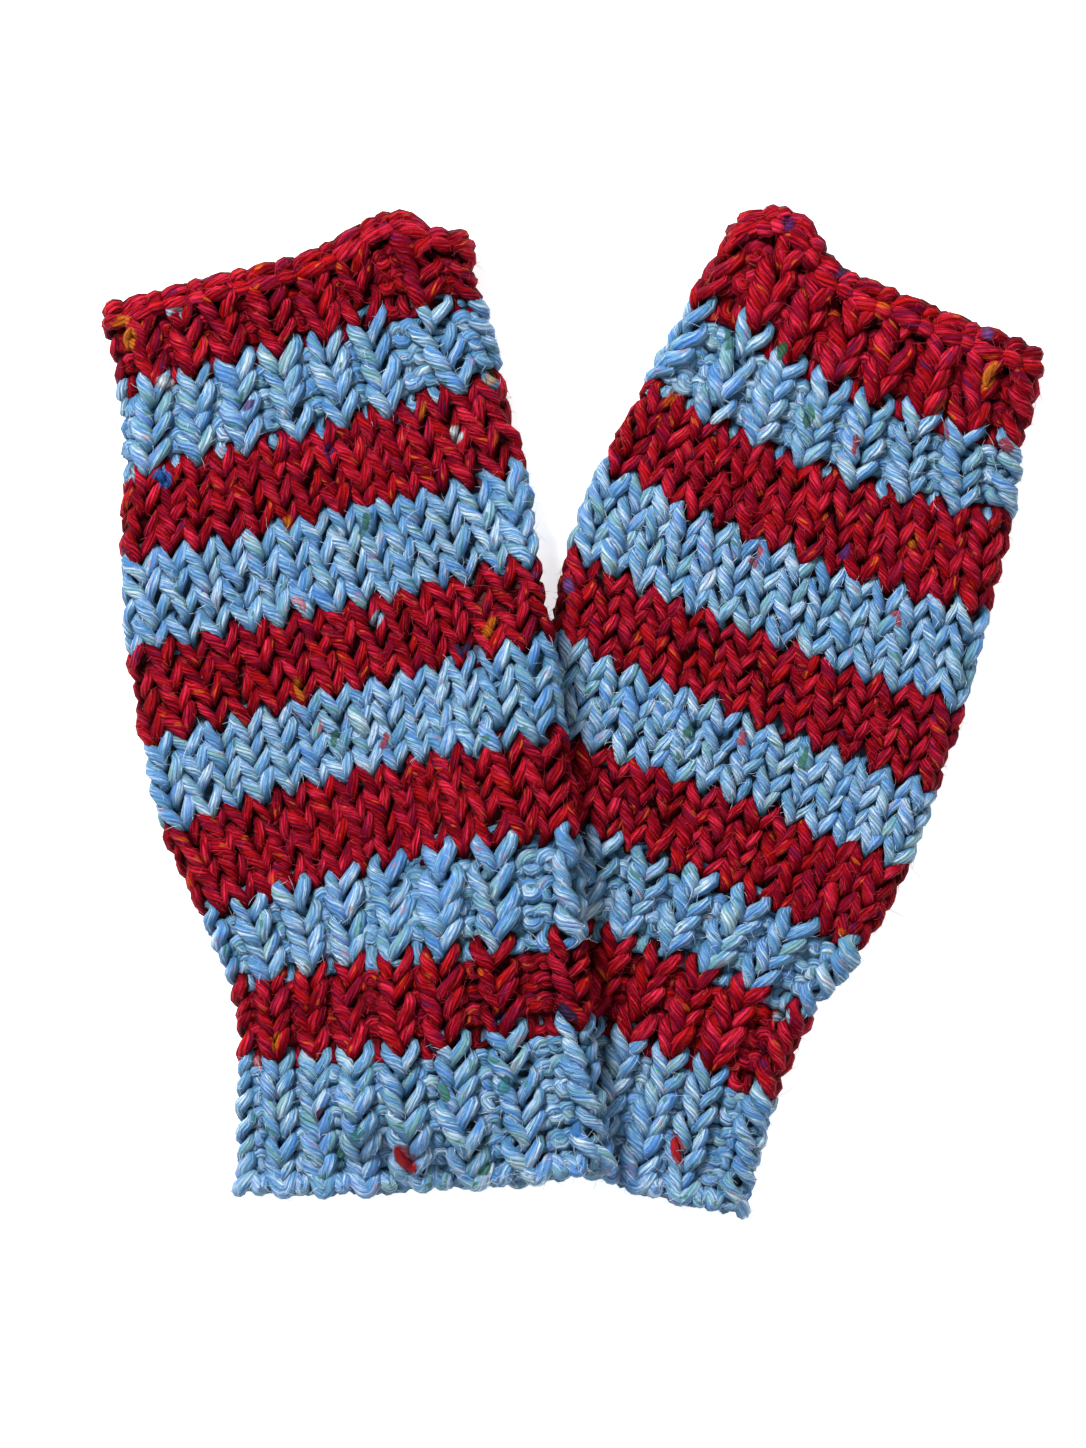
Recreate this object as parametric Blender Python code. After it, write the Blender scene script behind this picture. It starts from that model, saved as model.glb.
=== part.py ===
"""A pair of hand-knitted fingerless mitts in red and blue stripes, laid flat.

Each mitt is one tube, knitted in the round, open at both ends and without a thumb. It lies flat, so
its front and back panels rest on each other. The left mitt lies over the right one and bends up
onto it. Every stripe is a band of its own, because a new ball of yarn starts there.

Sizes are in millimetres and become metres where a mesh is made. X is across, Y is towards the
finger ends and Z is up. The origin is on the table, below the middle of the pair.
"""

import bmesh
import bpy
import numpy as np

MM = 0.001

# The knitting: two panels of chunky fabric, one on the other, with hardly any room between them
WALL = 4.1
HOLLOW = 0.6
THICK = 2 * WALL + HOLLOW
FOLD_RADIUS = THICK / 2
SEAM = 0.34

# The ribs: knit columns that stand above the purl columns, eight across a face
RIBS_ACROSS = 8
RIB_RISE = 1.1
RIB_FOOT = 0.16
RIB_CREST = 0.32
PLAIN_STOPS = 10
UNDER_STOPS = 8

# The ramp by which the upper mitt climbs onto the lower one
CLIMB = THICK + RIB_RISE + 0.7
CLIMB_STARTS = 20.0
CLIMB_ENDS = 3.0

# The middle of the whole pair on the table, which becomes the origin
MIDDLE = (-0.1, 0.46)

# One row for each stripe, from the cast-on edge to the bind-off edge
STRIPES = (
    # name, yarn, ribbed, steps along the tube
    ("cuff_low_blue", "blue", True, 4),
    ("cuff_red", "red", True, 3),
    ("cuff_high_blue", "blue", True, 3),
    ("palm_low_red", "red", False, 3),
    ("palm_low_blue", "blue", False, 3),
    ("palm_mid_red", "red", False, 3),
    ("palm_high_blue", "blue", False, 3),
    ("palm_high_red", "red", False, 3),
    ("finger_blue", "blue", True, 3),
    ("finger_red", "red", True, 3),
)

# One row for each course where a stripe ends: its two ends at the side folds, and its bow
LEFT_COURSES = (
    # left x, left y, right x, right y, bow
    (-69.9, -98.9, 8.2, -93.4, -2.0),
    (-69.4, -71.8, 4.5, -61.7, -2.0),
    (-71.3, -56.1, 3.0, -45.7, 1.2),
    (-77.7, -41.6, 2.2, -23.6, 2.2),
    (-85.8, -24.0, -1.1, -3.9, 2.0),
    (-89.7, -5.8, -3.6, 16.1, -0.1),
    (-93.0, 12.8, -6.3, 32.7, -0.7),
    (-94.3, 31.9, -9.0, 51.3, -0.5),
    (-94.1, 49.9, -14.4, 70.8, -1.5),
    (-94.3, 67.5, -18.3, 86.3, 0.0),
    (-98.2, 84.0, -21.6, 99.8, 1.6),
)
RIGHT_COURSES = (
    # left x, left y, right x, right y, bow
    (-37.8, -76.6, 36.0, -103.6, -3.4),
    (-27.8, -53.4, 42.5, -79.9, 1.2),
    (-21.6, -37.1, 50.2, -62.5, 2.0),
    (-15.6, -18.4, 60.8, -48.9, 1.9),
    (-12.3, -1.4, 70.1, -32.3, 0.8),
    (-5.5, 17.0, 76.3, -15.7, -0.8),
    (-1.6, 34.4, 81.9, 1.2, -1.8),
    (5.7, 53.0, 87.3, 21.1, -3.8),
    (14.8, 69.6, 91.8, 41.2, -5.0),
    (24.3, 85.7, 93.9, 56.1, -3.6),
    (33.8, 101.4, 98.0, 74.9, -0.5),
)

# How the bound-off edge peaks: how far across it is, how high it stands and how far it reaches
LEFT_PEAK = (0.82, 6.2, 9.0)
RIGHT_PEAK = (0.15, 7.4, 9.0)

# How the rib columns drift apart from the left fold to the right one: 1 is an even spacing
LEFT_SPREAD = 1.2
RIGHT_SPREAD = 0.9

# Colour, roughness and metallic value of each yarn
YARNS = {
    "red": ((0.42, 0.008, 0.022), 0.9, 0.0),
    "blue": ((0.16, 0.38, 0.66), 0.9, 0.0),
}


def yarn_material(name):
    """The matt finish of one ball of wool."""
    colour, roughness, metallic = YARNS[name]
    material = bpy.data.materials.new(name + "_yarn")
    material.use_nodes = True
    shader = material.node_tree.nodes["Principled BSDF"]
    shader.inputs["Base Color"].default_value = (*colour, 1.0)
    shader.inputs["Roughness"].default_value = roughness
    shader.inputs["Metallic"].default_value = metallic
    material.diffuse_color = (*colour, 1.0)
    return material


def course_at(courses, v):
    """The five sizes of a course at stripe count v, on a smooth curve through the table's rows."""
    rows = np.array(courses)
    i = int(min(v, len(rows) - 2))
    t = v - i
    before = rows[i - 1] if i > 0 else 2 * rows[0] - rows[1]
    after = rows[i + 2] if i + 2 < len(rows) else 2 * rows[-1] - rows[-2]
    start, end = rows[i], rows[i + 1]
    slope_in, slope_out = (end - before) / 2, (after - start) / 2
    return (
        (2 * t**3 - 3 * t**2 + 1) * start
        + (t**3 - 2 * t**2 + t) * slope_in
        + (3 * t**2 - 2 * t**3) * end
        + (t**3 - t**2) * slope_out
    )


def profile(width, ribbed, spread):
    """The flattened tube's outer line, as rows of across, height, two parts of the normal, and rise."""
    flat = width - 2 * FOLD_RADIUS
    if ribbed:
        cells = (np.arange(RIBS_ACROSS + 1) / RIBS_ACROSS) ** spread
        shape = ((RIB_FOOT, 0.0), (RIB_CREST, RIB_RISE), (1 - RIB_CREST, RIB_RISE), (1 - RIB_FOOT, 0.0))
        stops = [(a + (b - a) * s, rise) for a, b in zip(cells[:-1], cells[1:]) for s, rise in shape]
    else:
        stops = [(s, 0.0) for s in np.linspace(0.0, 1.0, PLAIN_STOPS)]
    top = [(flat * (s - 0.5), THICK, 0.0, 1.0, rise) for s, rise in stops]
    under = [(flat * (0.5 - s), 0.0, 0.0, -1.0, 0.0) for s in np.linspace(0.0, 1.0, UNDER_STOPS)]
    return top + fold(flat / 2, (45, 0, -45)) + under + fold(-flat / 2, (-135, 180, 135))


def fold(centre, angles):
    """The rounded side of the tube, seen from its end."""
    rows = []
    for angle in np.radians(angles):
        out, up = np.cos(angle), np.sin(angle)
        rows.append((centre + FOLD_RADIUS * out, FOLD_RADIUS * (1 + up), out, up, 0.0))
    return rows


def smooth_step(x):
    x = np.clip(x, 0.0, 1.0)
    return x * x * (3 - 2 * x)


def edge_of_tube(courses):
    """The closed outline of a mitt on the table."""
    rows = [course_at(courses, v) for v in np.linspace(0, len(courses) - 1, 31)]
    return np.array([row[0:2] for row in rows] + [row[2:4] for row in reversed(rows)])


def depth_inside(point, outline):
    """How far a point lies inside an outline, or less than nothing outside it."""
    ends = np.roll(outline, -1, axis=0)
    along = ends - outline
    share = ((point - outline) * along).sum(1) / (along * along).sum(1)
    nearest = outline + np.clip(share, 0, 1)[:, None] * along
    distance = np.linalg.norm(point - nearest, axis=1).min()
    crosses = (outline[:, 1] > point[1]) != (ends[:, 1] > point[1])
    height = np.where(along[:, 1] == 0, 1.0, along[:, 1])
    at = outline[:, 0] + (point[1] - outline[:, 1]) * along[:, 0] / height
    inside = np.count_nonzero(crosses & (point[0] < at)) % 2
    return distance if inside else -distance


def climb(point, lower_outline):
    """How high the upper mitt is carried over the lower one at a place on the table."""
    if lower_outline is None:
        return 0.0
    run = CLIMB_STARTS - CLIMB_ENDS
    return CLIMB * smooth_step((depth_inside(point, lower_outline) + CLIMB_STARTS) / run)


def section(mitt, v, ribbed):
    """The outer and the inner line of points around the tube at stripe count v."""
    left_x, left_y, right_x, right_y, bow = course_at(mitt["courses"], v)
    left, right = np.array((left_x, left_y)), np.array((right_x, right_y))
    width = np.linalg.norm(right - left)
    across = (right - left) / width
    up = np.array((-across[1], across[0]))
    peak_at, peak_rise, peak_reach = mitt["peak"]
    near_end = smooth_step(v - (len(mitt["courses"]) - 2)) ** 2
    outer, inner = [], []
    for base, z, out, rise_part, rise in profile(width, ribbed, mitt["spread"]):
        for line, offset in ((outer, rise), (inner, -WALL)):
            x = base + out * offset
            hump = peak_rise * near_end * np.exp(-(((x / width + 0.5 - peak_at) * width / peak_reach) ** 2))
            shift = bow * (1 - (2 * x / width) ** 2) + hump
            place = (left + right) / 2 + across * x + up * shift
            height = z + rise_part * offset + climb(place, mitt["over"])
            line.append((*(place - MIDDLE), height))
    return outer, inner


def band(mitt, index):
    """One stripe of the tube: its outer lines, then its inner ones back again, as one closed wall."""
    name, yarn, ribbed, steps = STRIPES[index]
    rows = mitt["courses"]
    height = np.linalg.norm(np.subtract(rows[index + 1][0:4], rows[index][0:4])) / np.sqrt(2)
    trim = SEAM / 2 / height
    first = index + (trim if index > 0 else 0.0)
    last = index + 1 - (trim if index < len(STRIPES) - 1 else 0.0)
    sections = [section(mitt, v, ribbed) for v in np.linspace(first, last, steps + 1)]
    lines = [outer for outer, _ in sections] + [inner for _, inner in reversed(sections)]

    shape = bmesh.new()
    rings = [[shape.verts.new([MM * c for c in point]) for point in line] for line in lines]
    for ring, next_ring in zip(rings, rings[1:] + rings[:1]):
        for i in range(len(ring)):
            shape.faces.new((ring[i - 1], ring[i], next_ring[i], next_ring[i - 1]))
    bmesh.ops.triangulate(shape, faces=shape.faces)
    bmesh.ops.recalc_face_normals(shape, faces=shape.faces)
    mesh = bpy.data.meshes.new(mitt["name"] + "_" + name)
    shape.to_mesh(mesh)
    shape.free()
    mesh.materials.append(bpy.data.materials[yarn + "_yarn"])
    return bpy.data.objects.new(mesh.name, mesh)


def knit(mitt, collection):
    """A whole mitt, its bands held by one empty."""
    holder = bpy.data.objects.new(mitt["name"] + "_mitt", None)
    collection.objects.link(holder)
    for index in range(len(STRIPES)):
        piece = band(mitt, index)
        piece.parent = holder
        collection.objects.link(piece)


for old in list(bpy.data.objects):
    bpy.data.objects.remove(old, do_unlink=True)

pair = bpy.data.collections.new("fingerless_mitts")
bpy.context.scene.collection.children.link(pair)
for yarn_name in YARNS:
    yarn_material(yarn_name)

RIGHT = {
    "name": "right",
    "courses": RIGHT_COURSES,
    "peak": RIGHT_PEAK,
    "spread": RIGHT_SPREAD,
    "over": None,
}
LEFT = {
    "name": "left",
    "courses": LEFT_COURSES,
    "peak": LEFT_PEAK,
    "spread": LEFT_SPREAD,
    "over": edge_of_tube(RIGHT_COURSES),
}
knit(RIGHT, pair)
knit(LEFT, pair)
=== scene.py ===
# A pair of hand-knitted fingerless mitts in chunky tweed wool, laid flat, the left one over the
# right one. Every stitch is a loop of yarn. Lengths are in millimetres until a mesh is made.
import math

import bpy
import numpy as np
from mathutils.bvhtree import BVHTree
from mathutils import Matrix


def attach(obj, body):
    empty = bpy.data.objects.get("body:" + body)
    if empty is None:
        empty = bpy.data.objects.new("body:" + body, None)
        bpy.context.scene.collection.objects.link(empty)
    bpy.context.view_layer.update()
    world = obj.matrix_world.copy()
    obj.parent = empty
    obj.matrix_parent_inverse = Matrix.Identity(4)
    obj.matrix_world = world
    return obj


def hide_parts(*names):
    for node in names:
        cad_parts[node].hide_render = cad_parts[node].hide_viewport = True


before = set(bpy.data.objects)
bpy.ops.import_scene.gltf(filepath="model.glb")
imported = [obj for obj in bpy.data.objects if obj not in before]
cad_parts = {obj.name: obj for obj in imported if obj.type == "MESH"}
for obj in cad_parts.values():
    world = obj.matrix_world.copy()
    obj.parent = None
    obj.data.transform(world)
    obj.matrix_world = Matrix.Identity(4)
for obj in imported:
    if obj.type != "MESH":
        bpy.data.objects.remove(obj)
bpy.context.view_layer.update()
MM = 0.001

# The table and the light. A pale matt table fills the view, and the pair is lit softly from above
# and from beyond the finger ends. The camera looks straight down through a long lens.
TABLE_SIZE = 6.0
TABLE_GREY = 0.93
TABLE_GLOW = 0.68
CAMERA_HEIGHT = 1.5
VIEW_CENTRE = (-0.0060, -0.0025)
VIEW_LONG_SIDE = 0.2997
MIDDLE_HEIGHT = 0.010
SENSOR = 36.0
SOFT_LIGHTS = (
    # name, place, side length, watts
    ("window", (-0.8, 1.2, 1.2), 0.55, 62.0),
    ("fill", (1.4, -0.2, 1.6), 1.6, 10.0),
    ("front", (-0.2, -1.5, 1.3), 1.6, 6.0),
)

table_mesh = bpy.data.meshes.new("table")
half = TABLE_SIZE / 2
table_corners = [(-half, -half, 0), (half, -half, 0), (half, half, 0), (-half, half, 0)]
table_mesh.from_pydata(table_corners, [], [(0, 1, 2, 3)])
table = bpy.data.objects.new("table", table_mesh)
bpy.context.scene.collection.objects.link(table)
table_finish = bpy.data.materials.new("pale_table")
table_finish.use_nodes = True
table_shader = table_finish.node_tree.nodes["Principled BSDF"]
table_shader.inputs["Base Color"].default_value = (TABLE_GREY, TABLE_GREY, TABLE_GREY, 1)
table_shader.inputs["Roughness"].default_value = 0.9
table_shader.inputs["Emission Color"].default_value = (1.0, 1.0, 1.0, 1)
table_shader.inputs["Emission Strength"].default_value = TABLE_GLOW
table_mesh.materials.append(table_finish)

for name, place, side, watts in SOFT_LIGHTS:
    light = bpy.data.lights.new(name, "AREA")
    light.shape = "SQUARE"
    light.size = side
    light.energy = watts
    lamp = bpy.data.objects.new(name, light)
    lamp.location = place
    to_light = np.array(place) / np.linalg.norm(place)
    lamp.rotation_euler = (math.acos(to_light[2]), 0, math.atan2(to_light[1], to_light[0]) + math.pi / 2)
    bpy.context.scene.collection.objects.link(lamp)

sky = bpy.data.worlds.new("studio")
sky.use_nodes = True
sky.node_tree.nodes["Background"].inputs["Color"].default_value = (1.0, 1.0, 1.0, 1)
sky.node_tree.nodes["Background"].inputs["Strength"].default_value = 0.24
bpy.context.scene.world = sky
bpy.context.scene.view_settings.view_transform = "Standard"

camera_data = bpy.data.cameras.new("camera")
camera_data.sensor_width = SENSOR
camera_data.lens = SENSOR * (CAMERA_HEIGHT - MIDDLE_HEIGHT) / VIEW_LONG_SIDE
camera = bpy.data.objects.new("camera", camera_data)
camera.location = (*VIEW_CENTRE, CAMERA_HEIGHT)
bpy.context.scene.collection.objects.link(camera)
bpy.context.scene.camera = camera

# How a mitt lies. It is a tube, knitted in the round and pressed flat. Its stripes run from the
# cast-on edge at the wrist to the bound-off edge at the fingers, and the left mitt climbs over the
# right one. The sizes are those of the solids.
WALL = 4.1
THICK = 8.8
FOLD = THICK / 2
MID_RADIUS = FOLD - WALL / 2
RIB_RISE = 1.1
CLIMB = THICK + RIB_RISE + 0.7
CLIMB_STARTS = 20.0
CLIMB_ENDS = 3.0
PRESSED = 0.45
SUNK = 1.30
FOLD_PRESSED = 0.55
MIDDLE = (-0.1, 0.46)
STRIPES = (
    # name, yarn, ribbed, rows
    ("cuff_low_blue", "blue", True, 6),
    ("cuff_red", "red", True, 4),
    ("cuff_high_blue", "blue", True, 4),
    ("palm_low_red", "red", False, 4),
    ("palm_low_blue", "blue", False, 4),
    ("palm_mid_red", "red", False, 4),
    ("palm_high_blue", "blue", False, 4),
    ("palm_high_red", "red", False, 4),
    ("finger_blue", "blue", True, 4),
    ("finger_red", "red", True, 3),
)
CAST_ON = 0.55
BIND_OFF = 0.75
ROWS = sum(stripe[3] for stripe in STRIPES)
FIRST_ROWS = np.cumsum([0] + [stripe[3] for stripe in STRIPES])
CUFF_ROWS, PALM_ROWS = 14, 34
LEFT_COURSES = (
    # left x, left y, right x, right y, bow
    (-69.9, -98.9, 8.2, -93.4, -2.0),
    (-69.4, -71.8, 4.5, -61.7, -2.0),
    (-71.3, -56.1, 3.0, -45.7, 1.2),
    (-77.7, -41.6, 2.2, -23.6, 2.2),
    (-85.8, -24.0, -1.1, -3.9, 2.0),
    (-89.7, -5.8, -3.6, 16.1, -0.1),
    (-93.0, 12.8, -6.3, 32.7, -0.7),
    (-94.3, 31.9, -9.0, 51.3, -0.5),
    (-94.1, 49.9, -14.4, 70.8, -1.5),
    (-94.3, 67.5, -18.3, 86.3, 0.0),
    (-98.2, 84.0, -21.6, 99.8, 1.6),
)
RIGHT_COURSES = (
    # left x, left y, right x, right y, bow
    (-37.8, -76.6, 36.0, -103.6, -3.4),
    (-27.8, -53.4, 42.5, -79.9, 1.2),
    (-21.6, -37.1, 50.2, -62.5, 2.0),
    (-15.6, -18.4, 60.8, -48.9, 1.9),
    (-12.3, -1.4, 70.1, -32.3, 0.8),
    (-5.5, 17.0, 76.3, -15.7, -0.8),
    (-1.6, 34.4, 81.9, 1.2, -1.8),
    (5.7, 53.0, 87.3, 21.1, -3.8),
    (14.8, 69.6, 91.8, 41.2, -5.0),
    (24.3, 85.7, 93.9, 56.1, -3.6),
    (33.8, 101.4, 98.0, 74.9, -0.5),
)

# Thirty-one stitches go round. An odd number leaves two purl columns side by side in the ribs.
STITCHES = 31
KNIT_WIDTH = 1.46
MARKED_COLUMNS = (2.5, 6.5, 10.5, 12.5, 15.5)
LEFT_COLUMNS = (
    # row, then how far across the front the marked columns lie
    (0, 0.11, 0.33, 0.62, 0.79, 0.99),
    (8, 0.10, 0.31, 0.58, 0.74, 0.95),
    (16, 0.13, 0.40, 0.65, 0.77, 1.03),
    (23, 0.10, 0.40, 0.66, 0.78, 1.01),
    (30, 0.05, 0.34, 0.61, 0.71, 0.94),
    (37, 0.09, 0.31, 0.57, 0.68, 0.86),
)
RIGHT_COLUMNS = (
    (0, 0.20, 0.43, 0.70, 0.81, 0.98),
    (8, 0.19, 0.43, 0.68, 0.80, 0.98),
    (16, 0.12, 0.41, 0.69, 0.83, 1.01),
    (23, 0.13, 0.39, 0.70, 0.84, 1.05),
    (30, 0.11, 0.39, 0.68, 0.82, 1.03),
    (37, 0.12, 0.37, 0.64, 0.77, 0.99),
)
RIB = "KP" * 7 + "P" + "KP" * 8
RIGHT_FINGER_RIB = "KPP" + "KP" * 14


def smooth_step(x):
    x = np.clip(x, 0.0, 1.0)
    return x * x * (3 - 2 * x)


class Mitt:
    """One flattened tube, which turns a place in the knitting into a point on the table."""

    def __init__(self, name, courses, peak, columns, cuff_rib, finger_rib, lies_on=None):
        self.name = name
        self.rows = np.array(courses)
        self.peak = peak
        self.ribs = (cuff_rib, finger_rib)
        self.lies_on = lies_on
        ends = self.course(np.linspace(0, len(courses) - 1, 31))
        self.outline = np.concatenate([ends[:, 0:2], ends[::-1, 2:4]])
        self.first_kept = -4
        kept_rows = range(self.first_kept, ROWS + 5)
        self.kept = np.array([self.spread(row, np.array(columns)) for row in kept_rows])

    def course(self, v):
        """The sizes of the courses at stripe counts v, on a smooth curve through the rows."""
        padded = np.vstack([2 * self.rows[0] - self.rows[1], self.rows, 2 * self.rows[-1] - self.rows[-2]])
        i = np.clip(v.astype(int), 0, len(self.rows) - 2)
        t = (v - i)[:, None]
        before, start, end, after = (padded[i + k] for k in range(4))
        return (
            (2 * t**3 - 3 * t**2 + 1) * start
            + (t**3 - 2 * t**2 + t) * (end - before) / 2
            + (3 * t**2 - 2 * t**3) * end
            + (t**3 - t**2) * (after - start) / 2
        )

    def rib(self, row):
        """1 for each knit column and -1 for each purl one, in the rib nearest to a row."""
        return np.array([1.0 if c == "K" else -1.0 for c in self.ribs[row > (CUFF_ROWS + PALM_ROWS) / 2]])

    def spread(self, row, columns):
        """How far round the tube the sides of a row's stitches lie. A knit column is wider than a
        purl one in the ribs, and the back takes what the front leaves over."""
        ribbing = 1 - smooth_step((row - CUFF_ROWS + 0.5) / 2) + smooth_step((row - PALM_ROWS + 0.5) / 2)
        knit = self.rib(row) > 0
        purl_width = (STITCHES - KNIT_WIDTH * knit.sum()) / (~knit).sum()
        widths = 1 + ribbing * (np.where(knit, KNIT_WIDTH, purl_width) - 1)
        sides = np.concatenate([[0], np.cumsum(widths)])
        marks = np.interp(MARKED_COLUMNS, np.arange(STITCHES + 1), sides)
        shares = np.array([np.interp(row, columns[:, 0], column) for column in columns[:, 1:].T])
        slope_in = (shares[1] - shares[0]) / (marks[1] - marks[0])
        slope_out = (shares[-1] - shares[-2]) / (marks[-1] - marks[-2])
        left_fold = marks[0] - shares[0] / slope_in
        right_fold = marks[-1] + (1 - shares[-1]) / slope_out
        across = np.interp(sides, [left_fold, *marks[shares < 1], right_fold], [0, *shares[shares < 1], 1])
        behind = sides[-1] - (right_fold - left_fold)
        round_back = np.maximum(sides - right_fold, 0) + np.minimum(sides - left_fold, 0)
        return 0.5 * across + 0.5 * round_back / behind

    def around(self, stitch, row):
        """How far round the tube a place between stitches lies, from the left fold over the front."""
        i, j = np.floor(row).astype(int), np.mod(np.floor(stitch).astype(int), STITCHES)
        up, on = row - i, stitch - np.floor(stitch)
        k = i - self.first_kept
        low, high = self.kept[k, j], self.kept[k, j + 1]
        next_low, next_high = self.kept[k + 1, j], self.kept[k + 1, j + 1]
        return (low + (high - low) * on) * (1 - up) + (next_low + (next_high - next_low) * on) * up

    def climb(self, places):
        """How high the mitt is carried over the lower one at places on the table."""
        if self.lies_on is None:
            return np.zeros(len(places))
        outline = self.lies_on.outline
        ends = np.roll(outline, -1, axis=0)
        along = ends - outline
        gap = places[:, None] - outline[None]
        share = np.clip((gap * along).sum(2) / (along * along).sum(1), 0, 1)
        distance = np.linalg.norm(gap - share[..., None] * along, axis=2).min(1)
        x, y = places[:, 0:1], places[:, 1:2]
        crosses = (outline[:, 1] > y) != (ends[:, 1] > y)
        at = outline[:, 0] + (y - outline[:, 1]) * along[:, 0] / np.where(along[:, 1] == 0, 1, along[:, 1])
        inside = (crosses & (x < at)).sum(1) % 2 == 1
        depth = np.where(inside, distance, -distance)
        return CLIMB * smooth_step((depth + CLIMB_STARTS) / (CLIMB_STARTS - CLIMB_ENDS))

    def place(self, around, row, depth):
        """Points on the table. Around runs from 0 at the left fold over the front to 1, row counts
        from the first one, and depth is outwards from the middle of the wall."""
        around, row, depth = np.broadcast_arrays(*(np.asarray(a, float) for a in (around, row, depth)))
        stripe_ends = np.array([-CAST_ON, *FIRST_ROWS[1:-1], ROWS + BIND_OFF])
        v = np.interp(row, stripe_ends, np.arange(len(stripe_ends)))
        v = v + np.minimum(row + CAST_ON, 0) / FIRST_ROWS[1] + np.maximum(row - ROWS - BIND_OFF, 0) / 4
        left_x, left_y, right_x, right_y, bow = self.course(v).T
        left, right = np.stack([left_x, left_y], 1), np.stack([right_x, right_y], 1)
        width = np.linalg.norm(right - left, axis=1)
        across = (right - left) / width[:, None]
        up = np.stack([-across[:, 1], across[:, 0]], 1)
        flat = width - 2 * FOLD
        quarter = math.pi * MID_RADIUS / 2
        d = np.mod(around, 1.0) * (2 * flat + 4 * quarter)
        centre = np.clip(d - quarter, 0, flat) - np.clip(d - 3 * quarter - flat, 0, flat) - flat / 2
        turned = (
            np.clip(d, 0, quarter)
            + np.clip(d - quarter - flat, 0, 2 * quarter)
            + np.clip(d - 3 * quarter - 2 * flat, 0, quarter)
        )
        angle = math.pi - turned / MID_RADIUS
        pressed = smooth_step((-np.sin(angle) - 0.2) / 0.6)
        proud = 1 - (1 - PRESSED) * pressed - (1 - FOLD_PRESSED) * np.cos(angle) ** 4
        reach = MID_RADIUS - SUNK * pressed + depth * proud
        x = centre + reach * np.cos(angle)
        peak_at, peak_rise, reach_left, reach_right = self.peak
        beyond = x + (0.5 - peak_at) * width
        hump = peak_rise * np.exp(-((beyond / np.where(beyond < 0, reach_left, reach_right)) ** 2))
        shift = bow * (1 - (2 * x / width) ** 2) + hump * smooth_step((v - len(self.rows) + 3) / 2) ** 1.5
        flat_place = (left + right) / 2 + across * x[:, None] + up * shift[:, None]
        height = FOLD + reach * np.sin(angle) + self.climb(flat_place)
        return np.column_stack([flat_place - MIDDLE, height]) * MM


right_mitt = Mitt("right", RIGHT_COURSES, (0.15, 7.4, 9.0, 8.5), RIGHT_COLUMNS, RIB, RIGHT_FINGER_RIB)
left_mitt = Mitt("left", LEFT_COURSES, (0.82, 6.2, 13.0, 6.0), LEFT_COLUMNS, RIB, RIB, lies_on=right_mitt)
MITTS = (right_mitt, left_mitt)

# The wool. Two balls of tweed, one crimson and one sky blue, each spun from many strands of fibre in
# several shades, with specks of other colours. Its finish follows the yarn: along it and around it.
STRANDS = 9
TWIST_LENGTH = 23.0
WOOL = {
    # painted shadow for the hollows, painted shade for the grooves, deep, middle, pale, a warmer and a
    # cooler shade of the fibres, and two for specks
    "red": (
        (0.010, 0.0001, 0.0006),
        (0.060, 0.0004, 0.0030),
        (0.095, 0.0005, 0.004),
        (0.275, 0.0004, 0.006),
        (0.860, 0.029, 0.082),
        (0.500, 0.006, 0.003),
        (0.140, 0.0020, 0.030),
        (0.60, 0.10, 0.010),
        (0.05, 0.010, 0.09),
    ),
    "blue": (
        (0.034, 0.145, 0.265),
        (0.070, 0.190, 0.330),
        (0.046, 0.190, 0.440),
        (0.142, 0.360, 0.670),
        (0.780, 0.900, 0.970),
        (0.180, 0.400, 0.330),
        (0.035, 0.190, 0.660),
        (0.03, 0.17, 0.10),
        (0.45, 0.16, 0.20),
    ),
}


class Number:
    """A number in a shader, on which Python's operators add Math nodes."""

    def __init__(self, tree, socket):
        self.tree, self.socket = tree, socket

    def math(self, operation, *others, turned=False):
        node = self.tree.nodes.new("ShaderNodeMath")
        node.operation = operation
        items = [self, *others]
        for slot, item in zip(node.inputs, reversed(items) if turned else items):
            if isinstance(item, Number):
                self.tree.links.new(item.socket, slot)
            else:
                slot.default_value = item
        return Number(self.tree, node.outputs[0])

    def __add__(self, other):
        return self.math("ADD", other)

    def __sub__(self, other):
        return self.math("SUBTRACT", other)

    def __rsub__(self, other):
        return self.math("SUBTRACT", other, turned=True)

    def __mul__(self, other):
        return self.math("MULTIPLY", other)

    def __truediv__(self, other):
        return self.math("DIVIDE", other)

    def __pow__(self, other):
        return self.math("POWER", other)

    __radd__ = __add__
    __rmul__ = __mul__

    def between(self, low, high):
        """From 0 where the number is low to 1 where it is high."""
        return ((self - low) / (high - low)).math("MAXIMUM", 0.0).math("MINIMUM", 1.0)


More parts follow.
